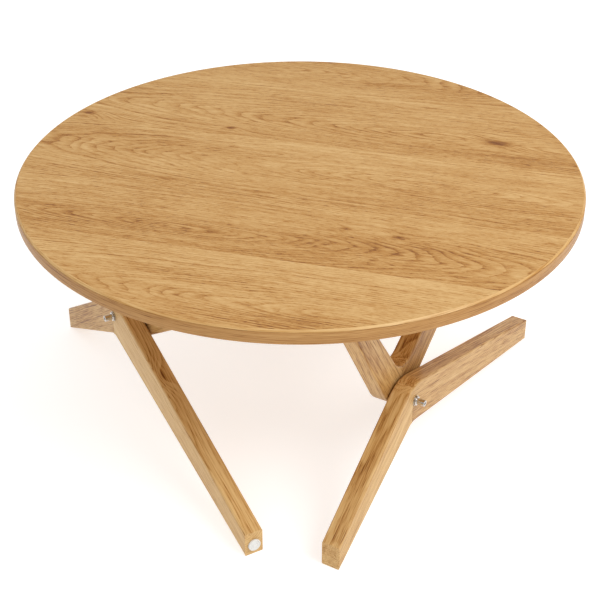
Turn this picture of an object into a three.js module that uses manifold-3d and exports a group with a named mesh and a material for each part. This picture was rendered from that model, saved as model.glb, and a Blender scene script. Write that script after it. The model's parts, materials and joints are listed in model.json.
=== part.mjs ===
// A round two-height table in oak. Three Λ-shaped legs turn on bolts that pass through three V-shaped
// brackets fixed under the top. Lying low, each leg stands on both of its ends. Turned a quarter turn,
// its long arm points straight down and the end of its short arm comes up under the top as a strut.
//
// Millimetres, +Z up, origin on the floor under the middle of the top.
// Each pivot has a frame of its own: x along the leg towards its long arm, y towards the table's axis,
// z up. A board's outline is drawn in x and z, and its thickness runs outwards along -y.

import * as THREE from 'three';
import { mergeVertices } from 'three/addons/utils/BufferGeometryUtils.js';
import Module from 'manifold-3d';

const wasm = await Module();
wasm.setup();

// ---------------------------------------------------------------- driving dimensions

const TOP_DIAMETER = 900;
const TOP_THICKNESS = 22;
const TOP_CHAMFER = 3;
const BAND_THICKNESS = 2;
const LOW_HEIGHT = 420;          // top surface above the floor, legs lying low
const HIGH_HEIGHT = 730;         // the same, legs turned a quarter turn

const PIVOT_COUNT = 3;
const FIRST_PIVOT_ANGLE = -30;   // degrees about Z, direction that the first leg's face looks in
const PIVOT_DEPTH = 258;         // pivot axis below the top surface
const PIVOT_SETBACK = 133;       // pivot axis beside the table's axis, seen along the pivot
const LEG_FACE = 284;            // outer face of a leg board from the table's axis

const BOARD_THICKNESS = 30;      // leg and bracket boards

const MITRE_OFFSET = 6.5;        // leg mitre beside the pivot axis, on the short arm's side
const ELBOW_RISE = 35;           // leg's outer corner above the pivot axis, before rounding
const CROTCH_DROP = 39;          // leg's inner corner below the pivot axis, before rounding
const LEG_ELBOW_RADIUS = 62;
const LEG_CROTCH_RADIUS = 30;
const SHORT_END = 43.5;          // height of the leg's cut ends
const LONG_END = 41.5;

const BRACKET_ELBOW = [6, -54];  // bracket's outer corner from the pivot axis, before rounding
const BRACKET_CROTCH = [17, 28]; // bracket's inner corner from the pivot axis, before rounding
const BRACKET_ELBOW_RADIUS = 75;
const BRACKET_CROTCH_RADIUS = 40;
const SHORT_RAKE = 58.5;         // degrees above level of the bracket's outer edges
const LONG_RAKE = 35;
const SHORT_TAPER = 4;           // degrees between an arm's two edges
const LONG_TAPER = 3.5;

const TENON_LENGTH = 50;         // loose tenon across each mitre
const TENON_HEIGHT = 16;
const TENON_THICKNESS = 8;
const LEG_TENON_DROP = 20;       // tenon's middle below the pivot axis in a leg
const BRACKET_TENON_RISE = 14;   // tenon's middle above the pivot axis in a bracket

const BOLT_DIAMETER = 8;
const BOLT_HEAD_LIP = 3;         // head beyond the bolt all round
const BOLT_HEAD_HEIGHT = 5;
const BOLT_HEAD_DOME = 2.1;      // width of the dome round the flat end of the head
const BOLT_POINT = 1;            // chamfer on the bolt's end
const SOCKET_ACROSS_FLATS = 5;   // hexagon sockets of bolt, sleeve nut and hanger bolt
const SOCKET_DEPTH = 3;
const THREAD_ENGAGED = 9;        // bolt's length inside the sleeve nut
const SLEEVE_WALL = 0.65;        // sleeve nut that stands out of the leg, round the bolt
const SLEEVE_LENGTH = 13;
const SLEEVE_CHAMFER = 0.8;
const FLANGE_LIP = 2.5;          // sleeve nut's flange beyond the sleeve all round
const FLANGE_THICKNESS = 2;
const WASHER_LIP = 0.75;         // steel washers beyond the flange all round
const WASHER_THICKNESS = 1.5;
const SPACER_LIP = 4.75;          // plastic spacer between bracket and leg, beyond the washers
const SPACER_THICKNESS = 2.5;

const INSERT_WALL = 2.15;        // threaded insert in the underside of the top, round the hanger bolt
const INSERT_LENGTH = 13;
const HANGER_DIAMETER = 6;       // hanger bolt from the insert down into a bracket arm
const HANGER_IN_TOP = 11;
const HANGER_IN_ARM = 24;

const PAD_DIAMETER = 20;         // plastic pad on the end of the long arm
const PAD_THICKNESS = 4;
const PAD_CHAMFER = 1;
const PAD_HEIGHT = 18;           // pad's middle above the floor, legs lying low
const PAD_PIN_DIAMETER = 3;
const PAD_PIN_LENGTH = 14;

const FIT = 0.3;                 // clearance between pieces that touch
const HOLE_FIT = 0.35;           // clearance all round a rod in its hole
const STRUT_FIT = 0.5;           // short arm's end below the top, legs turned high

const ROUND_STEPS = 10;          // facets of a board's rounded corner
const HARDWARE_SIDES = 20;
const TOP_SIDES = 120;

// ---------------------------------------------------------------- worked-out dimensions

const TOP_RADIUS = TOP_DIAMETER / 2;
const TOP_UNDERSIDE = LOW_HEIGHT - TOP_THICKNESS;
const PIVOT_HEIGHT = LOW_HEIGHT - PIVOT_DEPTH;
const PIVOT_TO_TOP = TOP_UNDERSIDE - PIVOT_HEIGHT;
const SHORT_REACH = PIVOT_TO_TOP - STRUT_FIT;
const LONG_REACH = HIGH_HEIGHT - PIVOT_DEPTH - PAD_THICKNESS;
const LEG_BACK = LEG_FACE - BOARD_THICKNESS;
const BRACKET_FACE = LEG_BACK - SPACER_THICKNESS;
const BRACKET_BACK = BRACKET_FACE - BOARD_THICKNESS;
const BRACKET_TOP = PIVOT_TO_TOP - FIT;
const HOLE_DIAMETER = BOLT_DIAMETER + 2 * HOLE_FIT;
const BOLT_HEAD_DIAMETER = BOLT_DIAMETER + 2 * BOLT_HEAD_LIP;
const SLEEVE_DIAMETER = HOLE_DIAMETER + 2 * SLEEVE_WALL;
const FLANGE_DIAMETER = SLEEVE_DIAMETER + 2 * FLANGE_LIP;
const WASHER_DIAMETER = FLANGE_DIAMETER + 2 * WASHER_LIP;
const SPACER_DIAMETER = WASHER_DIAMETER + 2 * SPACER_LIP;
const INSERT_DIAMETER = HANGER_DIAMETER + 2 * HOLE_FIT + 2 * INSERT_WALL;
const TURN = Math.PI / 180;

// ---------------------------------------------------------------- materials

function finish(color, roughness, metalness) {
  return new THREE.MeshStandardMaterial({ color, roughness, metalness });
}

const oakTop = finish(0xd9a45f, 0.45, 0);
const oakBand = finish(0xc08a4a, 0.5, 0);
const oakFrame = finish(0xcb9c62, 0.5, 0);
const beech = finish(0xd8b98c, 0.6, 0);
const steel = finish(0xc4c6c8, 0.22, 1);
const zinc = finish(0xb9b6a8, 0.4, 1);
const whitePlastic = finish(0xeeeeea, 0.45, 0);
const blackPlastic = finish(0x2a2622, 0.6, 0);

// ---------------------------------------------------------------- solids

// A closed geometry as a solid that can be cut.
function solidFrom(geometry) {
  const bare = new THREE.BufferGeometry();
  bare.setAttribute('position', geometry.getAttribute('position'));
  bare.setIndex(geometry.getIndex());
  const merged = mergeVertices(bare, 1e-4);
  const index = merged.getIndex().array;
  const triangles = [];
  for (let i = 0; i < index.length; i += 3) {
    const [a, b, c] = [index[i], index[i + 1], index[i + 2]];
    if (a !== b && b !== c && c !== a) triangles.push(a, b, c);
  }
  return new wasm.Manifold(new wasm.Mesh({
    numProp: 3,
    vertProperties: Float32Array.from(merged.getAttribute('position').array),
    triVerts: Uint32Array.from(triangles),
  }));
}

function geometryFrom(solid) {
  const mesh = solid.getMesh();
  const geometry = new THREE.BufferGeometry();
  geometry.setAttribute('position', new THREE.BufferAttribute(mesh.vertProperties, 3));
  geometry.setIndex(new THREE.BufferAttribute(mesh.triVerts, 1));
  const faceted = geometry.toNonIndexed();
  faceted.computeVertexNormals();
  return faceted;
}

// The named piece of the table.
function meshOf(name, solid, material) {
  const mesh = new THREE.Mesh(geometryFrom(solid), material);
  mesh.name = name;
  return mesh;
}

// A closed outline in x and z whose corners [x, z, radius] are rounded.
function roundedOutline(corners) {
  const shape = new THREE.Shape();
  corners.forEach(([x, z, radius], i) => {
    const here = new THREE.Vector2(x, z);
    if (!radius) {
      if (i === 0) shape.moveTo(x, z);
      else shape.lineTo(x, z);
      return;
    }
    const before = corners[(i + corners.length - 1) % corners.length];
    const after = corners[(i + 1) % corners.length];
    const back = new THREE.Vector2(before[0], before[1]).sub(here).normalize();
    const on = new THREE.Vector2(after[0], after[1]).sub(here).normalize();
    const half = Math.acos(back.dot(on)) / 2;
    const middle = back.clone().add(on).normalize();
    const centre = here.clone().addScaledVector(middle, radius / Math.sin(half));
    const start = here.clone().addScaledVector(back, radius / Math.tan(half)).sub(centre);
    const end = here.clone().addScaledVector(on, radius / Math.tan(half)).sub(centre);
    const clockwise = start.x * end.y - start.y * end.x < 0;
    shape.lineTo(centre.x + start.x, centre.y + start.y);
    shape.absarc(centre.x, centre.y, radius, start.angle(), end.angle(), clockwise);
  });
  shape.closePath();
  return shape;
}

// A board with the outline, its back face at the distance back outwards along -y.
function board(outline, back) {
  const geometry = new THREE.ExtrudeGeometry(outline, {
    depth: BOARD_THICKNESS, bevelEnabled: false, curveSegments: ROUND_STEPS,
  });
  geometry.rotateX(Math.PI / 2);
  geometry.translate(0, -back, 0);
  return solidFrom(geometry);
}

// A turned piece about z. Its profile [radius, z] runs from the bottom of the axis to the top.
function turned(profile, sides = HARDWARE_SIDES) {
  const points = profile.map(([radius, z]) => new THREE.Vector2(radius, z));
  return solidFrom(new THREE.LatheGeometry(points, sides).rotateX(Math.PI / 2));
}

function rod(diameter, from, to) {
  const radius = diameter / 2;
  return turned([[0, from], [radius, from], [radius, to], [0, to]]);
}

function hexagonBar(acrossFlats, from, to) {
  const bar = new THREE.CylinderGeometry(
    acrossFlats / Math.sqrt(3), acrossFlats / Math.sqrt(3), to - from, 6);
  bar.rotateX(Math.PI / 2);
  bar.translate(0, 0, (from + to) / 2);
  return solidFrom(bar);
}

// Stands a piece that was turned about z on the pivot axis, so that its z runs outwards.
function outwards(solid) {
  return solid.rotate([90, 0, 0]);
}

// Half of a board: everything on one side of the mitre, which leans by the angle lean.
function beyondMitre(solid, x, z, lean, side) {
  const reach = 2 * TOP_DIAMETER;
  const half = new THREE.BoxGeometry(reach, reach, reach);
  half.translate(side * (reach / 2 + FIT / 2), 0, 0);
  half.rotateY(lean);
  half.translate(x, 0, z);
  return solid.intersect(solidFrom(half));
}

// A block in the middle of a board's thickness, turned with the mitre.
function tenonBlock(x, z, lean, back, grow) {
  const block = new THREE.BoxGeometry(
    TENON_LENGTH + 2 * grow, TENON_THICKNESS + 2 * grow, TENON_HEIGHT + 2 * grow);
  block.rotateY(lean);
  block.translate(x, -(back + BOARD_THICKNESS / 2), z);
  return solidFrom(block);
}

// The two arms of an elbow and the loose tenon between them.
function mitredElbow(name, outline, back, mitre, tenonRise, holes) {
  const [x, z, lean] = mitre;
  const whole = holes.reduce((left, hole) => left.subtract(hole), board(outline, back));
  const tenonX = x + (tenonRise - z) * Math.tan(lean);
  const mortise = tenonBlock(tenonX, tenonRise, lean, back, FIT);
  const tenon = tenonBlock(tenonX, tenonRise, lean, back, 0);
  const cut = whole.subtract(mortise);
  return [
    meshOf(`${name}_short_arm`, beyondMitre(cut, x, z, lean, -1), oakFrame),
    meshOf(`${name}_long_arm`, beyondMitre(cut, x, z, lean, 1), oakFrame),
    meshOf(`${name}_tenon`, tenon, beech),
  ];
}

// ---------------------------------------------------------------- leg

const legOutline = roundedOutline([
  [-SHORT_REACH, -PIVOT_HEIGHT],
  [-MITRE_OFFSET, -CROTCH_DROP, LEG_CROTCH_RADIUS],
  [LONG_REACH, -PIVOT_HEIGHT],
  [LONG_REACH, -PIVOT_HEIGHT + LONG_END],
  [-MITRE_OFFSET, ELBOW_RISE, LEG_ELBOW_RADIUS],
  [-SHORT_REACH, -PIVOT_HEIGHT + SHORT_END],
]);

function alongX(solid) {
  return solid.rotate([0, 90, 0]);
}

function footPad() {
  const radius = PAD_DIAMETER / 2;
  const pinRadius = PAD_PIN_DIAMETER / 2;
  return alongX(turned([
    [0, -PAD_PIN_LENGTH], [pinRadius, -PAD_PIN_LENGTH + pinRadius], [pinRadius, FIT], [radius, FIT],
    [radius, PAD_THICKNESS - PAD_CHAMFER], [radius - PAD_CHAMFER, PAD_THICKNESS], [0, PAD_THICKNESS],
  ]));
}

function leg(number) {
  const padPlace = [LONG_REACH, -(LEG_BACK + BOARD_THICKNESS / 2), PAD_HEIGHT - PIVOT_HEIGHT];
  const pinHole = alongX(rod(PAD_PIN_DIAMETER + 2 * HOLE_FIT, -PAD_PIN_LENGTH - FIT, FIT));
  const boltHole = outwards(rod(HOLE_DIAMETER, BRACKET_BACK, LEG_FACE + FIT));
  return [
    ...mitredElbow(
      `leg_${number}`, legOutline, LEG_BACK, [-MITRE_OFFSET, 0, 0], -LEG_TENON_DROP,
      [boltHole, pinHole.translate(padPlace)]),
    meshOf(`foot_pad_${number}`, footPad().translate(padPlace), whitePlastic),
  ];
}

// ---------------------------------------------------------------- bracket

// Where an edge that leaves the corner at the angle rake meets the level of the arms' ends.
function edgeTop([x, z], rake, side) {
  return x + side * (BRACKET_TOP - z) / Math.tan(rake * TURN);
}

const bracketEnds = {
  shortOuter: edgeTop(BRACKET_ELBOW, SHORT_RAKE, -1),
  shortInner: edgeTop(BRACKET_CROTCH, SHORT_RAKE - SHORT_TAPER, -1),
  longInner: edgeTop(BRACKET_CROTCH, LONG_RAKE - LONG_TAPER, 1),
  longOuter: edgeTop(BRACKET_ELBOW, LONG_RAKE, 1),
};

const bracketOutline = roundedOutline([
  [bracketEnds.shortOuter, BRACKET_TOP],
  [...BRACKET_ELBOW, BRACKET_ELBOW_RADIUS],
  [bracketEnds.longOuter, BRACKET_TOP],
  [bracketEnds.longInner, BRACKET_TOP],
  [...BRACKET_CROTCH, BRACKET_CROTCH_RADIUS],
  [bracketEnds.shortInner, BRACKET_TOP],
]);

const bracketMitreLean = Math.atan2(
  BRACKET_CROTCH[0] - BRACKET_ELBOW[0], BRACKET_CROTCH[1] - BRACKET_ELBOW[1]);

// Middle of an arm halfway down the hanger bolt, so that the upright bolt stays inside the wood.
function hangerPlace(outerRake, taper, side) {
  const drop = HANGER_IN_ARM / 2;
  const outer = edgeTop(BRACKET_ELBOW, outerRake, side) - side * drop / Math.tan(outerRake * TURN);
  const innerRake = (outerRake - taper) * TURN;
  const inner = edgeTop(BRACKET_CROTCH, outerRake - taper, side) - side * drop / Math.tan(innerRake);
  return (outer + inner) / 2;
}

const bracketMiddle = BRACKET_BACK + BOARD_THICKNESS / 2;
const hangerPlaces = {
  short: [hangerPlace(SHORT_RAKE, SHORT_TAPER, -1), -bracketMiddle, PIVOT_TO_TOP],
  long: [hangerPlace(LONG_RAKE, LONG_TAPER, 1), -bracketMiddle, PIVOT_TO_TOP],
};

function hangerBolt() {
  const point = HANGER_DIAMETER / 4;
  const radius = HANGER_DIAMETER / 2;
  return turned([
    [0, -HANGER_IN_ARM], [point, -HANGER_IN_ARM], [radius, -HANGER_IN_ARM + radius],
    [radius, HANGER_IN_TOP], [0, HANGER_IN_TOP],
  ]);
}

function threadedInsert() {
  const bore = HANGER_DIAMETER / 2 + HOLE_FIT;
  const radius = INSERT_DIAMETER / 2;
  return turned([[bore, FIT], [radius, FIT], [radius, INSERT_LENGTH], [bore, INSERT_LENGTH], [bore, FIT]]);
}

function bracket(number) {
  const hangerHole = rod(HANGER_DIAMETER + 2 * HOLE_FIT, -HANGER_IN_ARM - FIT, FIT);
  const boltHole = outwards(rod(HOLE_DIAMETER, BRACKET_BACK - FIT, LEG_FACE));
  const pieces = mitredElbow(
    `bracket_${number}`, bracketOutline, BRACKET_BACK, [...BRACKET_ELBOW, bracketMitreLean],
    BRACKET_TENON_RISE,
    [boltHole, hangerHole.translate(hangerPlaces.short), hangerHole.translate(hangerPlaces.long)]);
  for (const [arm, place] of Object.entries(hangerPlaces)) {
    pieces.push(meshOf(`hanger_bolt_${number}_${arm}`, hangerBolt().translate(place), steel));
    pieces.push(meshOf(`threaded_insert_${number}_${arm}`, threadedInsert().translate(place), zinc));
  }
  return pieces;
}

// ---------------------------------------------------------------- pivot

// The stack along the pivot axis, each face given by its distance from the table's axis.
const innerWasherBack = BRACKET_BACK - FIT - WASHER_THICKNESS;
const headFace = innerWasherBack - FIT;
const outerWasherBack = LEG_FACE + FIT;
const flangeBack = outerWasherBack + WASHER_THICKNESS + FIT;
const sleeveEnd = flangeBack + FLANGE_THICKNESS + SLEEVE_LENGTH;
const boltEnd = flangeBack + THREAD_ENGAGED;

function washer(outer, from, to) {
  const bore = HOLE_DIAMETER / 2;
  return outwards(turned([[bore, from], [outer / 2, from], [outer / 2, to], [bore, to], [bore, from]]));
}

function pivotBolt() {
  const radius = BOLT_DIAMETER / 2;
  const headRadius = BOLT_HEAD_DIAMETER / 2;
  const headTop = headFace - BOLT_HEAD_HEIGHT;
  const blank = turned([
    [0, headTop], [headRadius - BOLT_HEAD_DOME, headTop], [headRadius, headFace - BOLT_HEAD_HEIGHT / 2],
    [headRadius, headFace], [radius, headFace],
    [radius, boltEnd - BOLT_POINT], [radius - BOLT_POINT, boltEnd], [0, boltEnd],
  ]);
  return outwards(blank.subtract(hexagonBar(SOCKET_ACROSS_FLATS, headTop - FIT, headTop + SOCKET_DEPTH)));
}

function sleeveNut() {
  const bore = BOLT_DIAMETER / 2 + HOLE_FIT;
  const radius = SLEEVE_DIAMETER / 2;
  const flange = FLANGE_DIAMETER / 2;
  const flangeTop = flangeBack + FLANGE_THICKNESS;
  const blank = turned([
    [0, flangeBack], [flange - SLEEVE_CHAMFER, flangeBack], [flange, flangeBack + SLEEVE_CHAMFER],
    [flange, flangeTop - SLEEVE_CHAMFER], [flange - SLEEVE_CHAMFER, flangeTop], [radius, flangeTop],
    [radius, sleeveEnd - SLEEVE_CHAMFER], [radius - SLEEVE_CHAMFER, sleeveEnd], [0, sleeveEnd],
  ]);
  const thread = rod(2 * bore, flangeBack - FIT, boltEnd + FIT);
  const socket = hexagonBar(SOCKET_ACROSS_FLATS, sleeveEnd - SOCKET_DEPTH, sleeveEnd + FIT);
  return outwards(blank.subtract(thread).subtract(socket));
}

function pivotHardware(number) {
  return [
    meshOf(`pivot_bolt_${number}`, pivotBolt(), steel),
    meshOf(`inner_washer_${number}`,
      washer(WASHER_DIAMETER, innerWasherBack, innerWasherBack + WASHER_THICKNESS), steel),
    meshOf(`spacer_washer_${number}`,
      washer(SPACER_DIAMETER, BRACKET_FACE + FIT, LEG_BACK - FIT), blackPlastic),
    meshOf(`outer_washer_${number}`,
      washer(WASHER_DIAMETER, outerWasherBack, outerWasherBack + WASHER_THICKNESS), steel),
    meshOf(`sleeve_nut_${number}`, sleeveNut(), steel),
  ];
}

// ---------------------------------------------------------------- top

// Where a pivot's frame stands on the table.
function pivotMatrix(number) {
  const angle = FIRST_PIVOT_ANGLE + 90 - (number - 1) * 360 / PIVOT_COUNT;
  return new THREE.Matrix4()
    .makeRotationZ(angle * TURN)
    .multiply(new THREE.Matrix4().makeTranslation(-PIVOT_SETBACK, 0, PIVOT_HEIGHT));
}

const pivotNumbers = Array.from({ length: PIVOT_COUNT }, (_, i) => i + 1);

function tabletopBoard() {
  const rebate = TOP_RADIUS - BAND_THICKNESS - FIT;
  const lip = LOW_HEIGHT - TOP_CHAMFER;
  let blank = turned([
    [0, TOP_UNDERSIDE], [rebate, TOP_UNDERSIDE], [rebate, lip], [TOP_RADIUS, lip],
    [TOP_RADIUS - TOP_CHAMFER, LOW_HEIGHT], [0, LOW_HEIGHT],
  ], TOP_SIDES);
  for (const number of pivotNumbers) {
    for (const place of Object.values(hangerPlaces)) {
      const spot = new THREE.Vector3(...place).applyMatrix4(pivotMatrix(number));
      const hole = rod(INSERT_DIAMETER + 2 * HOLE_FIT, -FIT, INSERT_LENGTH + FIT);
      blank = blank.subtract(hole.translate([spot.x, spot.y, TOP_UNDERSIDE]));
    }
  }
  return blank;
}

function edgeBand() {
  const inner = TOP_RADIUS - BAND_THICKNESS;
  const upper = LOW_HEIGHT - TOP_CHAMFER - FIT;
  return turned([
    [inner, TOP_UNDERSIDE], [TOP_RADIUS, TOP_UNDERSIDE], [TOP_RADIUS, upper], [inner, upper],
    [inner, TOP_UNDERSIDE],
  ], TOP_SIDES);
}

// ---------------------------------------------------------------- assembly

const table = new THREE.Group();
table.add(meshOf('tabletop_board', tabletopBoard(), oakTop));
table.add(meshOf('edge_band', edgeBand(), oakBand));
for (const number of pivotNumbers) {
  const station = new THREE.Group();
  station.applyMatrix4(pivotMatrix(number));
  station.add(...bracket(number), ...leg(number), ...pivotHardware(number));
  table.add(station);
}

export default table;
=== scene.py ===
import json
import math

import bmesh
import bpy
from mathutils import Matrix, Vector


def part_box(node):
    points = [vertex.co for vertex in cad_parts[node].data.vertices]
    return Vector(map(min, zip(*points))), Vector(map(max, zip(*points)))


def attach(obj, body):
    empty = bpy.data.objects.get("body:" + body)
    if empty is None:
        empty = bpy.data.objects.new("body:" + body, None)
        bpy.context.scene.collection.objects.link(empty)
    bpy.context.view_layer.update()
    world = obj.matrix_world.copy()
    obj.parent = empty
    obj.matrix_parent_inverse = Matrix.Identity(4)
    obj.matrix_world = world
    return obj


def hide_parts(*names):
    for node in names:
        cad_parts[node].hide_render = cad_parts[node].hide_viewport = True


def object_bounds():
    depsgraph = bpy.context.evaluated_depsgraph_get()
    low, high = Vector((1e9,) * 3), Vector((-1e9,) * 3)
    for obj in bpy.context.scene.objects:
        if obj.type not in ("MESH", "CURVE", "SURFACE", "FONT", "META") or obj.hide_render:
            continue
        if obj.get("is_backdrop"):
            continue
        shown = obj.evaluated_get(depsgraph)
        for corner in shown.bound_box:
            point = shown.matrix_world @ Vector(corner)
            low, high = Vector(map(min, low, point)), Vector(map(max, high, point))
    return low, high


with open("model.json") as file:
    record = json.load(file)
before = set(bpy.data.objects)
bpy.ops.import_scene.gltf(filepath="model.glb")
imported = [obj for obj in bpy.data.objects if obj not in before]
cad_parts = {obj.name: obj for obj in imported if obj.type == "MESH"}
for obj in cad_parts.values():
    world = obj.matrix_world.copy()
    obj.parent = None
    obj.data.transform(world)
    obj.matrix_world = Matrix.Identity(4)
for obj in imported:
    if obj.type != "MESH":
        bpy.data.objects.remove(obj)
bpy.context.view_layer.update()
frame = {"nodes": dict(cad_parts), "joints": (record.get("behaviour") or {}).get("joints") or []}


# ------------------------------------------------------------------ tabletop board
# The round top is five oak staves glued edge to edge and turned to a disc, with a small chamfer
# round its upper edge. Below a lip, whose grain runs round the table, the rim steps in to take a
# thin edge band. Six blind holes in the underside hold the inserts for the brackets.

MM = 0.001
CHAMFER = 3 * MM
BAND_DEPTH = 2.3 * MM
TOP_SIDES = 360
TOP_EASE = 0.6 * MM
HOLE_FIT = 0.35 * MM
SHARP = math.radians(30)
GRAIN_ANGLE = math.radians(-14.5)


class Value:
    """A socket in a node tree. Arithmetic on it adds Math nodes."""

    def __init__(self, nodes, socket):
        self.nodes = nodes
        self.socket = socket

    def math(self, operation, first, second):
        return self.nodes.add("ShaderNodeMath", {"operation": operation}, {0: first, 1: second})

    def __add__(self, other):
        return self.math("ADD", self, other)

    def __sub__(self, other):
        return self.math("SUBTRACT", self, other)

    def __rsub__(self, other):
        return self.math("SUBTRACT", other, self)

    def __mul__(self, other):
        return self.math("MULTIPLY", self, other)

    def __truediv__(self, other):
        return self.math("DIVIDE", self, other)

    __radd__ = __add__
    __rmul__ = __mul__


class Nodes:
    """A node tree that is built up one node at a time."""

    def __init__(self, tree):
        self.tree = tree

    def fill(self, node, inputs):
        for key, value in inputs.items():
            if isinstance(value, Value):
                self.tree.links.new(value.socket, node.inputs[key])
            else:
                node.inputs[key].default_value = value

    def add(self, kind, settings=None, inputs=None, output=0):
        node = self.tree.nodes.new(kind)
        for key, value in (settings or {}).items():
            if key == "stops":
                ramp = node.color_ramp.elements
                ramp[0].position, ramp[0].color = value[0]
                ramp[1].position, ramp[1].color = value[-1]
                for position, shade in value[1:-1]:
                    ramp.new(position).color = shade
            else:
                setattr(node, key, value)
        self.fill(node, inputs or {})
        return Value(self, node.outputs[output])

    def vector(self, operation, first, second, output=0):
        return self.add("ShaderNodeVectorMath", {"operation": operation}, {0: first, 1: second}, output)

    def mix(self, share, first, second):
        return self.add("ShaderNodeMix", {"data_type": "RGBA"}, {0: share, 6: first, 7: second}, 2)

    def noise(self, place, stretch, detail, output=0):
        scaled = self.vector("MULTIPLY", place, stretch)
        return self.add(
            "ShaderNodeTexNoise", {}, {"Vector": scaled, "Scale": 1.0, "Detail": detail}, output)

    def between(self, value, low, high):
        """The value as a share of the way from low to high, held at both ends and eased."""
        return self.add(
            "ShaderNodeMapRange", {"interpolation_type": "SMOOTHSTEP"},
            {"Value": value, "From Min": low, "From Max": high})


class Finish(Nodes):
    """A material and its Principled shader."""

    def __init__(self, name, constants):
        self.material = bpy.data.materials.new(name)
        self.material.use_nodes = True
        super().__init__(self.material.node_tree)
        self.shader = self.tree.nodes["Principled BSDF"]
        self.surface(constants)

    def surface(self, inputs):
        self.fill(self.shader, inputs)


def colour(red, green, blue):
    """A colour given as on a paint chart, 0 to 255, in the linear form that shaders take."""
    def linear(level):
        share = level / 255
        return share / 12.92 if share <= 0.04045 else ((share + 0.055) / 1.055) ** 2.4
    return (linear(red), linear(green), linear(blue), 1.0)


# How many times a metre each pattern in the wood comes again, along the log and across it, and
# how far the pith strays sideways.
PITH_DRIFT = (2.3, 13, 13)
PITH_REACH = 26 * MM
RING_DRIFT = (9, 75, 75)
FIGURES = (2.6, 17, 17)
BANDS = (1.3, 15, 15)
STREAKS = (5.5, 130, 130)
FIBRES = (28, 620, 620)
DASHES = (17, 430, 430)
PORES = (50, 1400, 1400)
BUMP_DEPTH = 0.25 * MM


def oak(name, tones, contrast, ring, wander, gloss, knots):
    """Lacquered oak as a solid log. A board shows what lies at its "log" attribute: metres
    along the pith, and two coordinates across it. Its "tone" attribute makes it darker or paler,
    partly for the wood's own colour and partly as painted light, as on an arm painted paler against
    the shade it sits in. Rings are this far apart and wander this far. Knots are (place in the log,
    radius)."""
    wood = Finish(name, {"Specular IOR Level": gloss})
    place = wood.add("ShaderNodeAttribute", {"attribute_name": "log"}, output="Vector")

    # The pith wanders along the log, and the rings swerve round each knot.
    drift = wood.noise(place, PITH_DRIFT, 2.0, "Color")
    drift = wood.vector("SUBTRACT", drift, (0.5, 0.5, 0.5))
    drift = wood.vector("MULTIPLY", drift, (0, PITH_REACH, PITH_REACH))
    wandered = wood.vector("ADD", place, drift)
    radius = wood.vector("LENGTH", wood.vector("MULTIPLY", wandered, (0, 1, 1)), (0, 0, 0), "Value")
    radius = radius + (wood.noise(place, RING_DRIFT, 3.0) - 0.5) * 2 * wander
    knot_dark = 0.0
    for centre, size in knots:
        away = wood.vector("SUBTRACT", place, centre)
        away = wood.vector("MULTIPLY", away, (0.42 / size, 1 / size, 1 / size))
        squared = wood.vector("DOT_PRODUCT", away, away, "Value")
        radius = radius + 1.9 * size * wood.add(
            "ShaderNodeMath", {"operation": "EXPONENT"}, {0: squared * -0.16})
        knot_dark = knot_dark + wood.add(
            "ShaderNodeMath", {"operation": "EXPONENT"}, {0: squared * -1.6})

    # Each year starts with a dark porous line and fades into pale dense wood.
    uneven = wood.add("ShaderNodeTexNoise", {"noise_dimensions": "1D"}, {"W": radius * 46, "Scale": 1.0})
    age = radius / ring + uneven * 3.2
    season = wood.add("ShaderNodeMath", {"operation": "FRACT"}, {0: age})
    line = wood.add("ShaderNodeValToRGB", {"stops": [
        (0.0, (0.15, 0.15, 0.15, 1)), (0.06, (1, 1, 1, 1)), (0.3, (0.55, 0.55, 0.55, 1)),
        (0.62, (0.08, 0.08, 0.08, 1)), (1.0, (0.15, 0.15, 0.15, 1))]}, {"Fac": season})
    year = wood.add("ShaderNodeTexNoise", {"noise_dimensions": "1D"}, {"W": radius * 160, "Scale": 1.0})
    figured = wood.between(wood.noise(place, FIGURES, 1.0), 0.30, 0.60)

    # Broad warm and pale bands, finer streaks, and pores that show as short dark dashes.
    band = wood.noise(place, BANDS, 2.0) - 0.5
    streak = wood.noise(place, STREAKS, 3.0) - 0.5
    fibre = wood.noise(place, FIBRES, 2.0) - 0.5
    dash = wood.between(wood.noise(place, DASHES, 1.0), 0.58, 0.70)
    pore = wood.between(wood.noise(place, PORES, 1.0), 0.54, 0.66)
    pore = pore * (0.3 + 0.7 * line)
    # The tone attribute darkens or pales the wood: partly its own colour, partly painted light.
    shift = wood.add("ShaderNodeAttribute", {"attribute_name": "tone"}, output="Fac")
    tone = 0.36 + shift + contrast * (
        0.85 * band + 0.9 * streak + 1.0 * fibre + 0.4 * (year - 0.5)
        + (0.14 + 0.32 * figured) * (line - 0.3)) + 0.34 * pore + 0.24 * dash + 0.7 * knot_dark
    pale, middle, warm, dark = tones
    tinted = wood.add("ShaderNodeValToRGB", {"stops": [
        (0.0, pale), (0.42, middle), (0.72, warm), (1.0, dark)]}, {"Fac": tone})
    wood.surface({"Base Color": tinted, "Roughness": 0.40 + 0.16 * pore + 0.06 * streak})
    relief = 1.0 - 0.6 * pore - 0.35 * line
    bump = wood.add("ShaderNodeBump", {}, {"Height": relief, "Strength": 0.25, "Distance": BUMP_DEPTH})
    wood.surface({"Normal": bump})
    return wood.material


def applied(name, piece):
    """The piece with its modifiers worked in, as a plain new object."""
    bpy.context.view_layer.update()
    seen = piece.evaluated_get(bpy.context.evaluated_depsgraph_get())
    mesh = bpy.data.meshes.new_from_object(seen)
    blank = piece.data
    bpy.data.objects.remove(piece)
    bpy.data.meshes.remove(blank)
    mesh.name = name
    made = bpy.data.objects.new(name, mesh)
    bpy.context.scene.collection.objects.link(made)
    return made


def from_bmesh(name, work):
    work.normal_update()
    mesh = bpy.data.meshes.new(name)
    work.to_mesh(mesh)
    work.free()
    mesh.shade_smooth()
    made = bpy.data.objects.new(name, mesh)
    bpy.context.scene.collection.objects.link(made)
    return made


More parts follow.
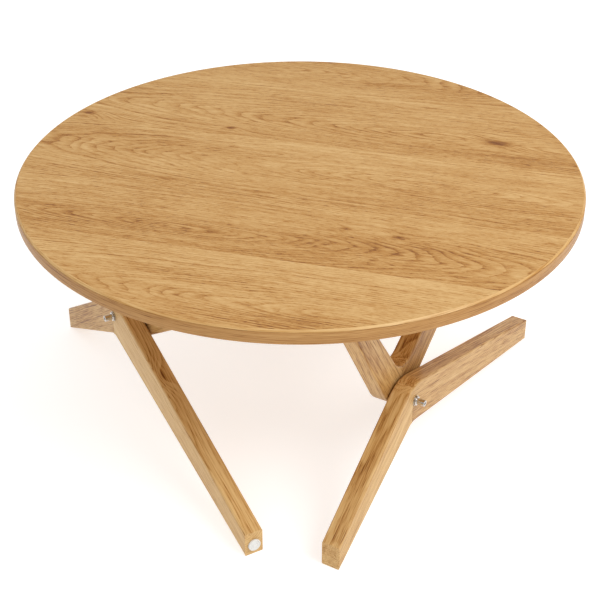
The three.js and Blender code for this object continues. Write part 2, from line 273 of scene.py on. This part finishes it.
def ease_edges(piece, width, segments, by="ANGLE"):
    """Rounds the piece's edges and keeps its flat faces flat in the light."""
    bevel = piece.modifiers.new("ease", "BEVEL")
    bevel.limit_method = by
    bevel.angle_limit = SHARP
    bevel.width = width
    bevel.segments = segments
    bevel.use_clamp_overlap = False
    weighted = piece.modifiers.new("shade", "WEIGHTED_NORMAL")
    weighted.keep_sharp = True


def rings_of(profile, sides):
    """A closed turned solid. The profile's points are (radius, height) from one end to the other.
    A third number gives a ring six flats, and its radius is then half its width across them."""
    work = bmesh.new()
    rings = []
    for radius, height, *hexagon in profile:
        ring = []
        for step in range(sides):
            angle = math.tau * step / sides
            reach = radius
            if hexagon:
                reach = radius / math.cos((angle % (math.pi / 3)) - math.pi / 6)
            ring.append(work.verts.new((reach * math.cos(angle), reach * math.sin(angle), height)))
        rings.append(ring)
    for lower, upper in zip(rings, rings[1:]):
        for step in range(sides):
            after = (step + 1) % sides
            work.faces.new((lower[step], lower[after], upper[after], upper[step]))
    work.faces.new(reversed(rings[0]))
    work.faces.new(rings[-1])
    bmesh.ops.recalc_face_normals(work, faces=work.faces)
    return work


top_low, top_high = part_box("tabletop_board")
TOP_RADIUS = top_high.x
rebate = TOP_RADIUS - BAND_DEPTH
lip = top_high.z - CHAMFER

work = rings_of([
    (rebate, top_low.z), (rebate, lip), (TOP_RADIUS, lip), (TOP_RADIUS - CHAMFER, top_high.z),
], TOP_SIDES)
along_top = Vector((math.cos(GRAIN_ANGLE), math.sin(GRAIN_ANGLE), 0))
across_top = Vector((-along_top.y, along_top.x, 0))

# Staves from the front edge to the back: width, then where each was cut from the log, as the
# pith's distance below the surface, its slope along the stave and its shift across it, then how
# much darker it is at its front edge and at its back edge.
STAVES = [
    (0.183, 0.022, -0.13, -0.03, 0.10, -0.24),
    (0.170, 0.022, 0.13, -0.03, 0.12, -0.06),
    (0.200, 0.030, -0.12, 0.006, 0.05, -0.10),
    (0.190, 0.036, -0.12, -0.012, 0.09, -0.06),
    (0.200, 0.034, 0.11, 0.0, -0.04, 0.10),
]
edge = -TOP_RADIUS
joints = []
for width, *_ in STAVES[:-1]:
    edge += width
    joints.append(edge)
    bmesh.ops.bisect_plane(
        work, geom=work.verts[:] + work.edges[:] + work.faces[:],
        plane_co=across_top * edge, plane_no=across_top)
top = from_bmesh("round_top", work)

cutters = bmesh.new()
for node in frame["nodes"]:
    if node.startswith("threaded_insert"):
        low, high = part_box(node)
        depth = high.z - top_low.z + HOLE_FIT
        hole_radius = (high.x - low.x) / 2 + HOLE_FIT
        bmesh.ops.create_cone(
            cutters, cap_ends=True, segments=32, radius1=hole_radius, radius2=hole_radius,
            depth=2 * depth,
            matrix=Matrix.Translation(((low.x + high.x) / 2, (low.y + high.y) / 2, top_low.z)))
cutter = from_bmesh("insert_holes", cutters)
holes = top.modifiers.new("holes", "BOOLEAN")
holes.operation = "DIFFERENCE"
holes.object = cutter
ease_edges(top, TOP_EASE, 3)
top = applied("round_top_board", top)
bpy.data.objects.remove(cutter)


# Metres along the log: from one stave to the next, and to the wood of the rim. Then how far out
# the rim's pith lies, and how dark the lip is.
STAVE_APART = 1.5
RIM_LOG = 12
RIM_PITH = 0.055
LIP_TONE = -0.22


def write_log(piece, where):
    """Stores where each corner of the piece lies in the log, and how much darker or paler it is
    painted, partly for its own colour and partly as painted light, as given by
    where(point, face centre)."""
    mesh = piece.data
    mesh.attributes.new("log", "FLOAT_VECTOR", "CORNER")
    mesh.attributes.new("tone", "FLOAT", "CORNER")
    log = mesh.attributes["log"]
    tone = mesh.attributes["tone"]
    for polygon in mesh.polygons:
        for corner in polygon.loop_indices:
            point = mesh.vertices[mesh.loops[corner].vertex_index].co
            *place, shade = where(point, polygon.center)
            log.data[corner].vector = place
            tone.data[corner].value = shade


def round_rim(point, centre):
    """On the rim the grain runs round the table, from a joint at the back."""
    middle = math.atan2(centre.x, -centre.y)
    turn = math.atan2(point.x, -point.y)
    turn += math.tau * round((middle - turn) / math.tau)
    across = RIM_PITH + math.hypot(point.x, point.y) - TOP_RADIUS
    return (RIM_LOG + TOP_RADIUS * turn, across, point.z, 0.0)


def in_stave(point, centre):
    """Each stave comes from its own stretch of the log. The lip's grain runs round the table."""
    in_lip = math.hypot(centre.x, centre.y) > TOP_RADIUS - CHAMFER - TOP_EASE
    if in_lip and centre.z > top_low.z + MM:
        return (*round_rim(point, centre)[:3], LIP_TONE)
    number = sum(centre.dot(across_top) > joint for joint in joints)
    width, depth, slope, shift, front_tone, back_tone = STAVES[number]
    middle = (joints + [joints[-1] + STAVES[-1][0]])[number] - width / 2
    run = point.dot(along_top)
    off = point.dot(across_top) - middle
    return (
        STAVE_APART * number + run, off - shift, depth + slope * run + point.z - top_high.z,
        front_tone + (back_tone - front_tone) * (off / width + 0.5),
    )


write_log(top, in_stave)
top_tones = [colour(213, 174, 116), colour(193, 147, 86), colour(172, 119, 54), colour(122, 70, 24)]
top_knots = [
    ((4.79, 0.0, 0.003), 0.012), ((1.695, 0.052, 0.045), 0.006), ((1.615, 0.057, 0.035), 0.004),
    ((4.345, -0.058, 0.055), 0.005), ((1.672, -0.021, 0.042), 0.004), ((4.09, -0.064, 0.085), 0.008),
]
oak_top = oak("oak_top", top_tones, 0.85, 4.2 * MM, 1.8 * MM, 0.3, top_knots)
top.data.materials.append(oak_top)
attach(top, "root")
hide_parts("tabletop_board")


# ------------------------------------------------------------------ edge band
# A strip of oak two millimetres thick, bent round the rim and glued below the lip. Its edges are
# eased, so a fine dark line shows where it meets the lip. Its grain runs round the table.

# Between the band and the board behind it is a line of glue.
GLUE_LINE = 0.3 * MM
BAND_EASE = 0.5 * MM


def new_tree(name, inputs, output):
    """A Geometry Nodes tree with named inputs, given as its nodes and those inputs' values."""
    tree = bpy.data.node_groups.new(name, "GeometryNodeTree")
    for label, kind in inputs.items():
        tree.interface.new_socket(label, in_out="INPUT", socket_type="NodeSocket" + kind)
    tree.interface.new_socket(output, in_out="OUTPUT", socket_type="NodeSocketGeometry")
    nodes = Nodes(tree)
    given = tree.nodes.new("NodeGroupInput")
    return nodes, [Value(nodes, given.outputs[label]) for label in inputs]


def end_tree(nodes, pieces, material):
    """Ends the tree: its pieces are made real and take their material."""
    pieces = nodes.add("GeometryNodeRealizeInstances", {}, {"Geometry": pieces})
    pieces = nodes.add("GeometryNodeSetMaterial", {}, {"Geometry": pieces, "Material": material})
    nodes.fill(nodes.tree.nodes.new("NodeGroupOutput"), {0: pieces})


def grown(name, tree, values, base=None):
    """What a Geometry Nodes tree makes from these inputs, and from a base piece, as a plain mesh."""
    if base is None:
        base = bpy.data.objects.new(name, bpy.data.meshes.new(name))
        bpy.context.scene.collection.objects.link(base)
    modifier = base.modifiers.new("grown", "NODES")
    modifier.node_group = tree
    for item in tree.interface.items_tree:
        if item.in_out == "INPUT" and item.name in values:
            modifier[item.identifier] = values[item.name]
    return applied(name, base)


band, (radius, thickness, height, bottom, ease, material) = new_tree("bent_band", {
    "Radius": "Float", "Thickness": "Float", "Height": "Float", "Bottom": "Float", "Ease": "Float",
    "Material": "Material"}, "Band")
path = band.add("GeometryNodeCurvePrimitiveCircle", {}, {
    "Resolution": TOP_SIDES, "Radius": radius - thickness / 2})
section = band.add("GeometryNodeCurvePrimitiveQuadrilateral", {}, {0: thickness, 1: height})
section = band.add("GeometryNodeFilletCurve", {"mode": "POLY"}, {
    "Curve": section, "Count": 3, "Radius": ease})
strip = band.add("GeometryNodeCurveToMesh", {}, {"Curve": path, "Profile Curve": section})
lift = band.add("ShaderNodeCombineXYZ", {}, {"Z": bottom + height / 2})
strip = band.add("GeometryNodeTransform", {}, {"Geometry": strip, "Translation": lift})
strip = band.add("GeometryNodeSetShadeSmooth", {}, {"Geometry": strip})
end_tree(band, strip, material)

band_tones = [colour(190, 146, 90), colour(174, 127, 71), colour(150, 102, 50), colour(106, 62, 28)]
oak_band = oak("oak_band", band_tones, 0.75, 3 * MM, 1.5 * MM, 0.25, [])
band_low, band_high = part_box("edge_band")
rim = grown("bent_edge_band", band.tree, {
    "Radius": TOP_RADIUS, "Thickness": BAND_DEPTH - GLUE_LINE, "Height": band_high.z - band_low.z,
    "Bottom": band_low.z, "Ease": BAND_EASE, "Material": oak_band})
write_log(rim, round_rim)
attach(rim, "root")
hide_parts("edge_band")


# ------------------------------------------------------------------ brackets and legs
# Three V-shaped brackets hang under the top and three legs turn on them. Each is two arms of 30 mm
# oak board, mitred and glued at the elbow. Long edges are rounded over, and cut ends only sanded.

# How far long edges are rounded, and as a share of that, sawn ends, the mitre and a hole's rim.
ARRIS = 3.2 * MM
END_SHARE = 0.3
MITRE_SHARE = 0.09
HOLE_SHARE = 0.15
# A sawn end has at least this area, and a long edge this share of the longest one. A normal this
# much along the bolt is on a board's face, and a side bends by less than this from part to part.
SAWN_AREA = 1000 * MM * MM
LONG_SHARE = 0.6
ON_FACE = 0.9
SAME_SIDE = math.radians(20)


def arris_weights(work, outward, pivot):
    """How far each edge is rounded: fully between a board's face and its long edge."""
    weights = work.edges.layers.float.new("bevel_weight_edge")
    narrow = [f for f in work.faces if abs(f.normal.dot(outward)) < ON_FACE]
    reached = sorted(narrow, key=lambda f: f.calc_area())[-2:]
    sides = set(reached)
    while reached:
        face = reached.pop()
        for edge in face.edges:
            for other in edge.link_faces:
                if other in sides or abs(other.normal.dot(outward)) > ON_FACE:
                    continue
                if other.normal.angle(face.normal) < SAME_SIDE:
                    sides.add(other)
                    reached.append(other)

    def from_pivot(face):
        off = face.calc_center_median() - pivot
        return (off - outward * off.dot(outward)).length

    cuts = [f for f in narrow if f not in sides and f.calc_area() > SAWN_AREA]
    mitre = min(cuts, key=from_pivot)
    for edge in work.edges:
        if edge.calc_face_angle(0) < SHARP:
            continue
        other = [f for f in edge.link_faces if f in narrow and f not in sides]
        if not other:
            edge[weights] = 1.0
        elif mitre in other:
            edge[weights] = MITRE_SHARE
        elif any(f in cuts for f in other):
            edge[weights] = END_SHARE
        elif len(other) == 1:
            edge[weights] = HOLE_SHARE


def board_piece(name, node, pivot_and_axis, log_start, cut):
    """The arm as a finished board, with the grain along its outer edge."""
    pivot, outward = pivot_and_axis
    # The cut's last number paints the arm darker or paler: partly its own colour, partly painted light.
    turn, depth, shift, slope, tone = cut
    work = bmesh.new()
    work.from_mesh(frame["nodes"][node].data)
    bmesh.ops.remove_doubles(work, verts=work.verts, dist=0.01 * MM)
    bmesh.ops.dissolve_limit(
        work, angle_limit=math.radians(0.5), verts=work.verts, edges=work.edges)
    longest = max(edge.calc_length() for edge in work.edges)
    elbow_up = 1 if name.startswith("leg") else -1
    outer = max(
        (edge for edge in work.edges if edge.calc_length() > LONG_SHARE * longest),
        key=lambda edge: elbow_up * (edge.verts[0].co.z + edge.verts[1].co.z))
    grain = (outer.verts[1].co - outer.verts[0].co).normalized()
    if grain.dot(outer.verts[0].co + outer.verts[1].co - 2 * pivot) < 0:
        grain.negate()
    arris_weights(work, outward, pivot)
    piece = from_bmesh(name + "_blank", work)
    ease_edges(piece, ARRIS, 5, "WEIGHT")
    piece = applied(name, piece)
    spun = Matrix.Rotation(math.radians(turn), 3, grain)
    across = spun @ outward.cross(grain)
    away = spun @ outward

    def in_board(point, centre):
        off = point - pivot
        run = off.dot(grain)
        return (log_start + run, off.dot(across) + shift, off.dot(away) + depth + slope * run, tone)

    write_log(piece, in_board)
    piece.data.materials.clear()
    piece.data.materials.append(oak_frame)
    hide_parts(node)
    return piece


# Metres to the frame's wood along the log, and from one arm to the next.
FRAME_LOG = 20
STRETCH = 1.7
frame_tones = [colour(216, 181, 125), colour(198, 156, 97), colour(170, 121, 62), colour(118, 70, 28)]

# Each leg's pivot: where its bolt is, and which way is outwards along it.
pivots = {}
for joint in frame["joints"]:
    number = int(joint["name"].split("_")[1])
    pivots[number] = (Vector(joint["pos_m"]), -Vector(joint["axis"]))

# How each arm was sawn: its turn round the grain in degrees, the pith's distance from it, shift
# across it and slope along it, then how much darker the arm is painted. That is partly the board's
# own colour and partly painted light: an arm in shade under the top is painted paler to cancel it.
CUTS = {
    "leg_1_long": (112, 0.050, 0.010, 0.02, 0.06),
    "leg_1_short": (75, 0.055, 0.004, -0.02, -0.09),
    # Painted paler, to cancel the shade the tabletop casts on this arm.
    "leg_2_long": (104, 0.050, 0.006, 0.018, -0.2),
    "leg_2_short": (84, 0.080, -0.010, 0.012, 0.12),
    "leg_3_long": (82, 0.070, 0.0, -0.014, -0.1),
    "leg_3_short": (104, 0.060, 0.008, 0.016, -0.04),
    "bracket_1_long": (60, 0.060, 0.010, 0.02, 0.12),
    "bracket_1_short": (125, 0.045, -0.006, 0.03, 0.04),
    "bracket_2_long": (78, 0.070, 0.004, 0.016, 0.10),
    "bracket_2_short": (108, 0.066, 0.0, -0.02, 0.0),
    "bracket_3_long": (96, 0.072, -0.006, 0.02, 0.05),
    "bracket_3_short": (70, 0.056, 0.010, 0.012, 0.0),
}
frame_knots = [((FRAME_LOG + 2 * STRETCH + 0.165, -0.012, 0.028), 0.006)]
oak_frame = oak("oak_frame", frame_tones, 1.0, 3.2 * MM, 1.1 * MM, 0.28, frame_knots)
for row, (kind, cut) in enumerate(CUTS.items()):
    part, number, _ = kind.split("_")
    log_start = FRAME_LOG + STRETCH * row
    piece = board_piece(f"{kind}_board", f"{kind}_arm", pivots[int(number)], log_start, cut)
    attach(piece, f"leg_{number}" if part == "leg" else "root")


# ------------------------------------------------------------------ tenons
# A loose tenon is glued across each mitre, inside both arms, so it doesn't show. It is plain
# unfinished beech, with the short flecks of that wood.


def coat(word, finish):
    """Every modelled piece with this word in its name takes the finish and keeps its shape."""
    for node, shape in frame["nodes"].items():
        if word in node:
            shape.data.materials.clear()
            shape.data.materials.append(finish.material)


beech = Finish("beech", {"Roughness": 0.6})
place = beech.add("ShaderNodeTexCoord", output="Object")
fleck = beech.between(beech.noise(place, (500, 500, 60), 2.0), 0.35, 0.7)
beech.surface({"Base Color": beech.mix(fleck, colour(222, 190, 148), colour(190, 148, 104))})
coat("tenon", beech)


# ------------------------------------------------------------------ inserts and hanger bolts
# A zinc insert is threaded into each hole under the top. A hanger bolt screws up into it and
# holds the arm of a bracket from inside, so neither shows.

zinc = Finish("zinc_plate", {"Metallic": 1.0})
place = zinc.add("ShaderNodeTexCoord", output="Object")
cloud = zinc.noise(place, (260, 260, 260), 3.0)
zinc.surface({
    "Base Color": zinc.mix(cloud, colour(196, 192, 178), colour(164, 163, 156)),
    "Roughness": 0.3 + 0.3 * cloud})
coat("threaded_insert", zinc)
coat("hanger_bolt", zinc)


# ------------------------------------------------------------------ pivot fixings
# A button-head bolt comes through bracket and leg from behind, with a washer under its head, a
# plastic spacer between the boards and a washer on the leg's face. A long sleeve nut with a
# flange screws on from outside. All is bright nickel plate, and the same at each of the three legs.

# The pieces are made at leg 3, whose bolt runs along Y, and set round the table from there.
STATION = 3
SIDES = 48
SLEEVE_RADIUS = 5 * MM
SHANK_RADIUS = 4 * MM
FLANGE_THICKNESS = 2 * MM
HEAD_HEIGHT = 5 * MM
CROWN_HEIGHT = 0.62 * HEAD_HEIGHT
SOCKET_HALF = 2.5 * MM
SOCKET_DEPTH = 3 * MM
SLEEVE_EASE = 0.5 * MM
METAL_EASE = 0.3 * MM
THREAD_GAP = 0.3 * MM


def turned(name, work, at, axis, ease):
    """A turned piece stood at a point, with its profile's heights running along an axis."""
    piece = from_bmesh(name, work)
    towards = Vector(axis).to_track_quat("Z", "Y").to_matrix().to_4x4()
    piece.data.transform(Matrix.Translation(at) @ towards)
    ease_edges(piece, ease, 2)
    return applied(name, piece)


ring, (one, count, material) = new_tree("round_the_table", {
    "Piece": "Geometry", "Count": "Int", "Material": "Material"}, "Pieces")
points = ring.add("GeometryNodePoints", {}, {"Count": count})
turn = ring.add("ShaderNodeCombineXYZ", {}, {
    "Z": ring.add("GeometryNodeInputIndex") * math.tau / count})
spread = ring.add("GeometryNodeInstanceOnPoints", {}, {
    "Points": points, "Instance": one, "Rotation": turn})
end_tree(ring, spread, material)


def round_table(name, piece, finish, nodes):
    """The piece at all three pivots, in one mesh on the root body."""
    piece = grown(name, ring.tree, {"Count": len(pivots), "Material": finish.material}, piece)
    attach(piece, "root")
    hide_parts(*[f"{nodes}_{number}" for number in pivots])


nickel = Finish("bright_nickel", {"Base Color": colour(205, 203, 200), "Metallic": 1.0})
place = nickel.add("ShaderNodeTexCoord", output="Object")
haze = nickel.noise(place, (420, 420, 420), 3.0)
nickel.surface({"Roughness": 0.08 + 0.1 * haze})
black_nylon = Finish("black_nylon", {"Base Color": colour(44, 38, 33)})
place = black_nylon.add("ShaderNodeTexCoord", output="Object")
pebble = black_nylon.noise(place, (2600, 2600, 2600), 2.0)
black_nylon.surface({"Roughness": 0.45 + 0.25 * pebble})

sleeve_low, sleeve_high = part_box(f"sleeve_nut_{STATION}")
bolt_low, bolt_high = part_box(f"pivot_bolt_{STATION}")
pivot = pivots[STATION][0]
axis_point = Vector((pivot.x, 0, pivot.z))
outward = (0, 1, 0)
bore = SHANK_RADIUS + HOLE_FIT

flange = (sleeve_high.x - sleeve_low.x) / 2
flange_top = sleeve_low.y + FLANGE_THICKNESS
sleeve = rings_of([
    (bore, bolt_high.y + THREAD_GAP), (bore, sleeve_low.y), (flange, sleeve_low.y),
    (flange, flange_top), (SLEEVE_RADIUS, flange_top), (SLEEVE_RADIUS, sleeve_high.y),
    (SOCKET_HALF, sleeve_high.y, 6), (SOCKET_HALF, sleeve_high.y - SOCKET_DEPTH, 6),
], SIDES)
sleeve = turned("sleeve", sleeve, axis_point, outward, SLEEVE_EASE)
round_table("sleeve_nuts", sleeve, nickel, "sleeve_nut")

head = (bolt_high.x - bolt_low.x) / 2
head_end = bolt_low.y + HEAD_HEIGHT
dome = [
    (head * math.cos(slant) ** 0.6, bolt_low.y + CROWN_HEIGHT * (1 - math.sin(slant)))
    for slant in (math.radians(degrees) for degrees in (55, 40, 25, 12))]
bolt = rings_of([
    (SOCKET_HALF, bolt_low.y + SOCKET_DEPTH, 6), (SOCKET_HALF, bolt_low.y, 6), *dome,
    (head, head_end), (SHANK_RADIUS, head_end), (SHANK_RADIUS, bolt_high.y),
], SIDES)
bolt = turned("bolt", bolt, axis_point, outward, METAL_EASE)
round_table("pivot_bolts", bolt, nickel, "pivot_bolt")

for kind, finish, slot in (
        ("inner_washer", nickel, "steel"), ("outer_washer", nickel, "steel"),
        ("spacer_washer", black_nylon, "black_plastic")):
    low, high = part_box(f"{kind}_{STATION}")
    edge = (high.x - low.x) / 2
    work = rings_of([(bore, low.y), (edge, low.y), (edge, high.y), (bore, high.y)], SIDES)
    ends = [face for face in work.faces if len(face.verts) == SIDES]
    bmesh.ops.delete(work, geom=ends, context="FACES_ONLY")
    bmesh.ops.bridge_loops(work, edges=[e for e in work.edges if e.is_boundary])
    bmesh.ops.recalc_face_normals(work, faces=work.faces)
    washer = turned(kind, work, axis_point, outward, METAL_EASE)
    round_table(f"{kind}s", washer, finish, kind)


# ------------------------------------------------------------------ foot pads
# A white nylon pad is pressed into the end of each long arm by its pin. It takes the floor when
# the leg stands upright. Its face has two shallow moulded rings.

PAD_THICKNESS = 3.7 * MM
PAD_EDGE = 0.9 * MM
PIN = 1.5 * MM
PIN_TIP = 0.6 * MM
RINGS = (7.6 * MM, 4.2 * MM)
RING_TOP = 0.8 * MM
RING_BOTTOM = 0.4 * MM
RING_DEPTH = 0.9 * MM

white_nylon = Finish("white_nylon", {})
place = white_nylon.add("ShaderNodeTexCoord", output="Object")
pebble = white_nylon.noise(place, (1800, 1800, 1800), 2.0)
white_nylon.surface({
    "Base Color": white_nylon.mix(pebble, colour(232, 232, 229), colour(218, 218, 214)),
    "Roughness": 0.38 + 0.2 * pebble})

pad_low, pad_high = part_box(f"foot_pad_{STATION}")
pad_radius = (pad_high.z - pad_low.z) / 2
pad_face = pad_low.x
pad_back = pad_face + PAD_THICKNESS
pad_profile = [
    (PIN_TIP, pad_high.x), (PIN, pad_high.x - PIN), (PIN, pad_back), (pad_radius, pad_back),
    (pad_radius, pad_face + PAD_EDGE), (pad_radius - PAD_EDGE, pad_face),
]
for middle in RINGS:
    pad_profile += [
        (middle + RING_TOP, pad_face), (middle + RING_BOTTOM, pad_face + RING_DEPTH),
        (middle - RING_BOTTOM, pad_face + RING_DEPTH), (middle - RING_TOP, pad_face)]
pad_profile = [(radius, -reach) for radius, reach in pad_profile]
pad_at = Vector((0, (pad_low.y + pad_high.y) / 2, (pad_low.z + pad_high.z) / 2))
for number in pivots:
    pad = turned(f"nylon_pad_{number}", rings_of(pad_profile, SIDES), pad_at, (-1, 0, 0), METAL_EASE)
    pad.data.transform(Matrix.Rotation((STATION - number) * math.tau / len(pivots), 4, "Z"))
    pad.data.materials.append(white_nylon.material)
    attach(pad, f"leg_{number}")
    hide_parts(f"foot_pad_{number}")


# ------------------------------------------------------------------ studio
# A pale floor without edges, which gives off some light of its own, and a wide soft light above
# and to the right. The room is pale at floor level and overhead, and dimmer in between, so that
# bright metal has something to reflect.

FLOOR = 12
FLOOR_GAP = 0.2 * MM
FLOOR_GLOW = 0.62
WHITE = colour(255, 255, 255)
DIM = colour(96, 96, 98)
KEY_PLACE = Vector((2.2, -1.6, 3.0))
KEY_AIM = Vector((0, 0, 0.2))
KEY_SIZE = 2.2
KEY_POWER = 66
AIM = Vector((0, 0, 0.1785))
DISTANCE = 2.345
ELEVATION = math.radians(32.86)
AZIMUTH = math.radians(0.48)
LENS = 83.3


def placed(name, data, at, back=None):
    """An object at a point, facing away from the direction given as its back."""
    made = bpy.data.objects.new(name, data)
    made.location = at
    if back is not None:
        made.rotation_euler = (-back).to_track_quat("-Z", "Y").to_euler()
    bpy.context.scene.collection.objects.link(made)
    return made


bpy.context.scene.view_settings.view_transform = "Standard"
floor_paint = Finish("studio_paint", {
    "Base Color": colour(205, 205, 205), "Roughness": 0.9, "Specular IOR Level": 0.0,
    "Emission Color": WHITE, "Emission Strength": FLOOR_GLOW})
sheet = bpy.data.meshes.new("studio_floor")
sheet.from_pydata(
    [(-FLOOR, -FLOOR, 0), (FLOOR, -FLOOR, 0), (FLOOR, FLOOR, 0), (-FLOOR, FLOOR, 0)], [], [(0, 1, 2, 3)])
sheet.materials.append(floor_paint.material)
placed("studio_floor", sheet, (0, 0, -FLOOR_GAP))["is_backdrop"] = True

room = bpy.data.worlds.new("studio_room")
room.use_nodes = True
bpy.context.scene.world = room
walls = Nodes(room.node_tree)
way = walls.add("ShaderNodeTexCoord")
rise = walls.add("ShaderNodeSeparateXYZ", {}, {"Vector": way}, "Z")
backdrop = walls.add("ShaderNodeValToRGB", {"stops": [
    (0.06, WHITE), (0.13, DIM), (0.32, DIM), (0.55, WHITE)]}, {"Fac": rise})
walls.fill(room.node_tree.nodes["Background"], {"Color": backdrop, "Strength": 1.0})

lamp = bpy.data.lights.new("key_light", "AREA")
lamp.shape = "DISK"
lamp.size = KEY_SIZE
lamp.energy = KEY_POWER
placed("key_light", lamp, KEY_PLACE, KEY_PLACE - KEY_AIM)

lens = bpy.data.cameras.new("studio_camera")
lens.lens = LENS
level = math.cos(ELEVATION)
back = Vector((math.sin(AZIMUTH) * level, -math.cos(AZIMUTH) * level, math.sin(ELEVATION)))
bpy.context.scene.camera = placed("studio_camera", lens, AIM + back * DISTANCE, back)


low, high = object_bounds()
